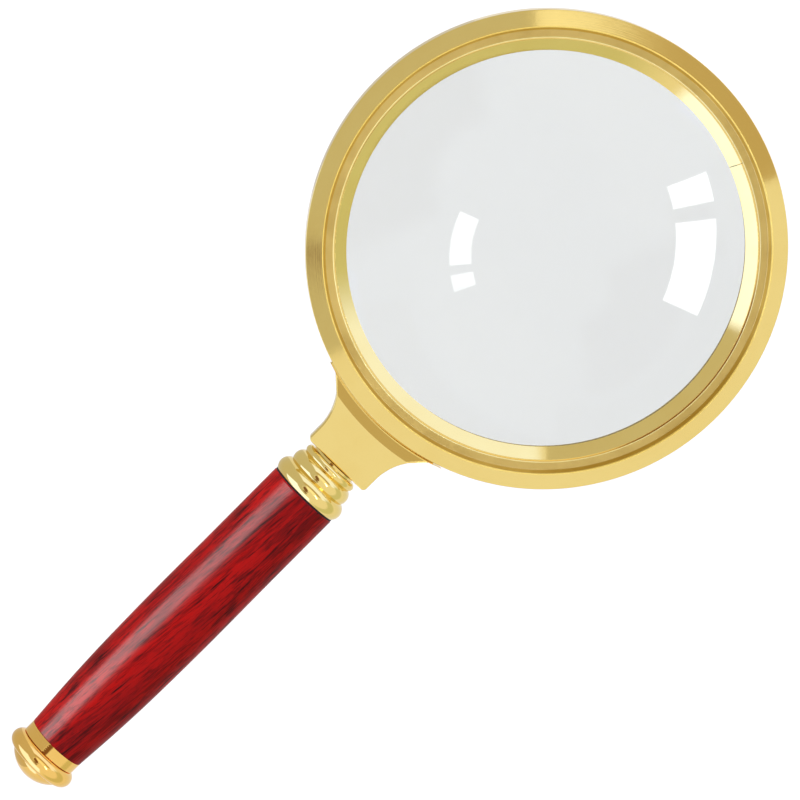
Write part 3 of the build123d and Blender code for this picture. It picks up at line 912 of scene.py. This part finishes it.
sky = Sky(world.node_tree)
direction = sky.tree.nodes.new("ShaderNodeTexCoord").outputs["Generated"]
parts = sky.tree.nodes.new("ShaderNodeSeparateXYZ")
sky.feed(parts.inputs[0], direction)
sky_tilt = sky.math("DEGREES", sky.math("ARCCOSINE", parts.outputs["Z"]))
level = sky.vector("NORMALIZE", sky.vector("MULTIPLY", direction, (1, 1, 0)))


def band(value, low, high, soft):
    """0 to 1 where a value lies between two limits, with soft edges."""
    rise = sky.remap(value, low - soft / 2, low + soft / 2)
    fall = sky.remap(value, high - soft / 2, high + soft / 2, 1.0, 0.0)
    return sky.math("MULTIPLY", rise, fall)


def sector(low, high, middle, half, soft_tilt, soft_azimuth):
    """0 to 1 inside a sector of sky."""
    centre = (math.cos(math.radians(middle)), math.sin(math.radians(middle)), 0)
    away = sky.math("DEGREES", sky.math("ARCCOSINE", sky.vector("DOT_PRODUCT", level, centre)))
    inside = sky.remap(away, half - soft_azimuth / 2, half + soft_azimuth / 2, 1.0, 0.0)
    return sky.math("MULTIPLY", band(sky_tilt, low, high, soft_tilt), inside)


SKY = (
    # low tilt, high tilt, middle azimuth, half width, soft tilt, soft azimuth, colour
    (12, 34, -12, 50, 8, 14, (1.20, 1.18, 1.12)),     # bright ceiling on the lens's side
    (27, 181, 107, 68, 5, 1.5, (0.64, 0.62, 0.57)),   # darker room on the +Y side
    (36, 52, 1.5, 42.5, 3, 1.5, (0.60, 0.50, 0.34)),  # its warm return towards +X
    (53, 88, -6, 43, 3, 4, (1.08, 1.24, 1.95)),       # bright wall low on the +X side
    (70, 99, -98, 57, 12, 20, (0.68, 0.71, 0.56)),     # a greenish skirting on the -Y side
    (50, 98, 156, 38, 4, 5, (1.30, 1.55, 2.7)),       # window low on the pommel's side
    (8, 25, 108, 52, 3, 16, (0.24, 0.13, 0.07)),      # the dark space around the camera
    (26, 36, 160, 14, 4, 6, (0.22, 0.13, 0.08)),
)
WALLS = (0.94, 0.93, 0.92, 1)
GROUND = (0.86, 0.85, 0.83, 1)
colour = sky.blend(sky.remap(sky_tilt, 90, 120), WALLS, GROUND)
for low, high, middle, half, soft_tilt, soft_azimuth, tone in SKY:
    mask = sector(low, high, middle, half, soft_tilt, soft_azimuth)
    colour = sky.blend(mask, colour, tone + (1,))

# a curved strip light with a gap in it, laid out on a ceiling one unit up
STRIP_CENTRE = (-0.038, -0.111)
STRIP_INNER = 0.307
STRIP_OUTER = 0.411
STRIP_SPIRAL = 0.00056
STRIP_GLOW = (9.0, 9.0, 9.0, 1)
ceiling = sky.math("MAXIMUM", parts.outputs["Z"], 0.05)
strip_x = sky.math("ADD", sky.math("DIVIDE", parts.outputs["X"], ceiling), -STRIP_CENTRE[0])
strip_y = sky.math("ADD", sky.math("DIVIDE", parts.outputs["Y"], ceiling), -STRIP_CENTRE[1])
bearing = sky.math("DEGREES", sky.math("ARCTAN2", strip_y, strip_x))
squared = sky.math("ADD", sky.math("MULTIPLY", strip_x, strip_x), sky.math("MULTIPLY", strip_y, strip_y))
reach = sky.math("ADD", sky.math("SQRT", squared), sky.math("MULTIPLY", bearing, STRIP_SPIRAL))
across = band(reach, STRIP_INNER, STRIP_OUTER, 0.006)
along = sky.math("ADD", band(bearing, -72.6, -43.0, 0.9), band(bearing, -37.6, -28.4, 0.9))
overhead_only = sky.math("GREATER_THAN", parts.outputs["Z"], 0.3)
strip = sky.math("MULTIPLY", sky.math("MULTIPLY", across, along), overhead_only)
colour = sky.blend(strip, colour, STRIP_GLOW)
background = sky.tree.nodes["Background"]
sky.feed(background.inputs["Color"], colour)
background.inputs["Strength"].default_value = 1.0


def soft_light(name, place, target, size, energy):
    """A rectangular lamp that the camera doesn't see, aimed at a target."""
    data = bpy.data.lights.new(name, "AREA")
    data.shape = "RECTANGLE"
    data.size, data.size_y = size
    data.energy = energy
    lamp = bpy.data.objects.new(name, data)
    lamp.location = place
    aim = Vector(target) - Vector(place)
    lamp.rotation_euler = aim.to_track_quat("-Z", "Y").to_euler()
    lamp.visible_camera = False
    bpy.context.scene.collection.objects.link(lamp)
    return lamp


# the main light for everything that isn't polished
overhead = soft_light("overhead_fill", (-0.15, 1.5, 0.9), (0, 0, 0), (1.8, 1.8), 30.0)
overhead.visible_glossy = False
overhead.visible_transmission = False
blockers = bpy.data.collections.new("backdrop_only")
blockers.objects.link(floor)
overhead.light_linking.blocker_collection = blockers

# no piece leaves a shade on the backdrop, which also shows through the lens
cad_pieces = ("lens_gasket", "neck_washer", "collar_gasket", "handle_insert", "end_washer", "pommel_nut")
own_pieces = (bezel, retainer, lens, rear_ring, yoke, stud, collar, grip, ferrule, pommel, rod)
for piece in own_pieces + tuple(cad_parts[node] for node in cad_pieces):
    piece.visible_shadow = False
    piece.visible_diffuse = False

# a long strip that only the lacquered grip mirrors
grip_strip = soft_light("grip_strip", (-0.30, 0.70, 0.42), (-0.06, 0, AXIS_Z), (0.5, 0.62), 29.0)
grip_strip.visible_diffuse = False
grip_strip.visible_transmission = False
receivers = bpy.data.collections.new("grip_only")
receivers.objects.link(grip)
grip_strip.light_linking.receiver_collection = receivers

scene = bpy.context.scene
scene.view_settings.view_transform = "Standard"
scene.view_settings.look = "None"
scene.cycles.use_denoising = True
scene.cycles.max_bounces = 16
scene.cycles.transmission_bounces = 12
scene.cycles.glossy_bounces = 8
